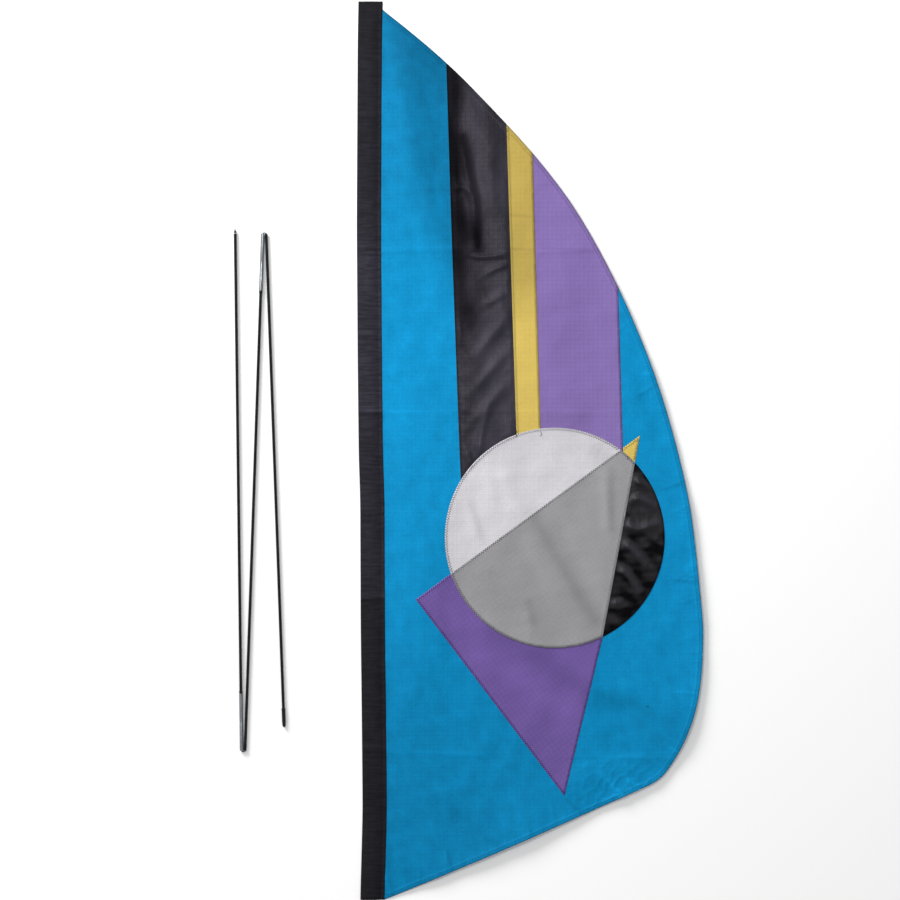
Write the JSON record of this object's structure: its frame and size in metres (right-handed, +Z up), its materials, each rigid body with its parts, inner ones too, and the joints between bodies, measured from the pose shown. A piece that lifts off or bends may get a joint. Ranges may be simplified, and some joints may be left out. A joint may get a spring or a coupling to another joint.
{
  "type": "sail-shaped banner with folding pole",
  "caption": "Sewn sail-shaped banner with a pole sleeve and a stripe, disc and triangle design, laid flat beside its folded shock-corded pole.",
  "frame": {"origin": "middle of the underside of the whole assembly as it lies on a flat surface", "axes": "+Y towards the flag's peak along the pole sleeve, +X from the pole towards the flag's leech, +Z up off the surface"},
  "size_m": [0.5566, 1.0668, 0.0059],
  "materials": {
    "sleeve_cloth": "matte black woven polyester",
    "blue_ripstop": "satin ripstop nylon",
    "black_ripstop": "satin ripstop nylon",
    "yellow_ripstop": "satin ripstop nylon",
    "purple_ripstop": "satin ripstop nylon",
    "white_ripstop": "satin ripstop nylon",
    "grey_ripstop": "satin ripstop nylon",
    "glass_fibre": "smooth black",
    "ferrule_metal": "polished",
    "black_rubber": "matte",
    "shock_cord": "braided"
  },
  "bodies": {
    "flag": {"luff_sleeve": "sleeve_cloth", "blue_ground": "blue_ripstop", "black_stripe": "black_ripstop", "yellow_stripe": "yellow_ripstop", "purple_stripe": "purple_ripstop", "white_segment": "white_ripstop", "grey_panel": "grey_ripstop", "black_segment": "black_ripstop", "purple_triangle": "purple_ripstop", "yellow_tip": "yellow_ripstop"},
    "tip_section": {"tip_tube": "glass_fibre", "tip_cap": "black_rubber", "tip_cord": "shock_cord", "tip_cord_anchor": "shock_cord"},
    "upper_link": {"upper_cord_loop": "shock_cord"},
    "middle_section": {"middle_tube": "glass_fibre", "upper_ferrule": "ferrule_metal", "upper_ferrule_collar": "black_rubber", "middle_cord": "shock_cord"},
    "lower_link": {"lower_cord_loop": "shock_cord"},
    "base_section": {"base_tube": "glass_fibre", "lower_ferrule": "ferrule_metal", "lower_ferrule_collar": "black_rubber", "base_cord": "shock_cord", "base_knot": "shock_cord"}
  },
  "joints": [
    {"name": "pole_lift", "type": "slide", "parent": "flag", "child": "tip_section", "axis": [0, 0, 1], "range_m": [0, 0.12]},
    {"name": "upper_fold", "type": "hinge", "parent": "tip_section", "child": "upper_link", "pos_m": [-0.24165, 0.2572, 0.0024], "axis": [0, 0, 1], "range_deg": [-175.96, 0], "deforming": ["upper_cord_loop"]},
    {"name": "upper_seat", "type": "slide", "parent": "upper_link", "child": "middle_section", "axis": [0.0342, 0.9994, 0], "range_m": [0, 0.0332]},
    {"name": "lower_fold", "type": "hinge", "parent": "middle_section", "child": "lower_link", "pos_m": [-0.26674, -0.35617, 0.0024], "axis": [0, 0, 1], "range_deg": [0, 177.33], "deforming": ["lower_cord_loop"]},
    {"name": "lower_seat", "type": "slide", "parent": "lower_link", "child": "base_section", "axis": [0.0124, -0.9999, 0], "range_m": [0, 0.0332]}
  ]
}
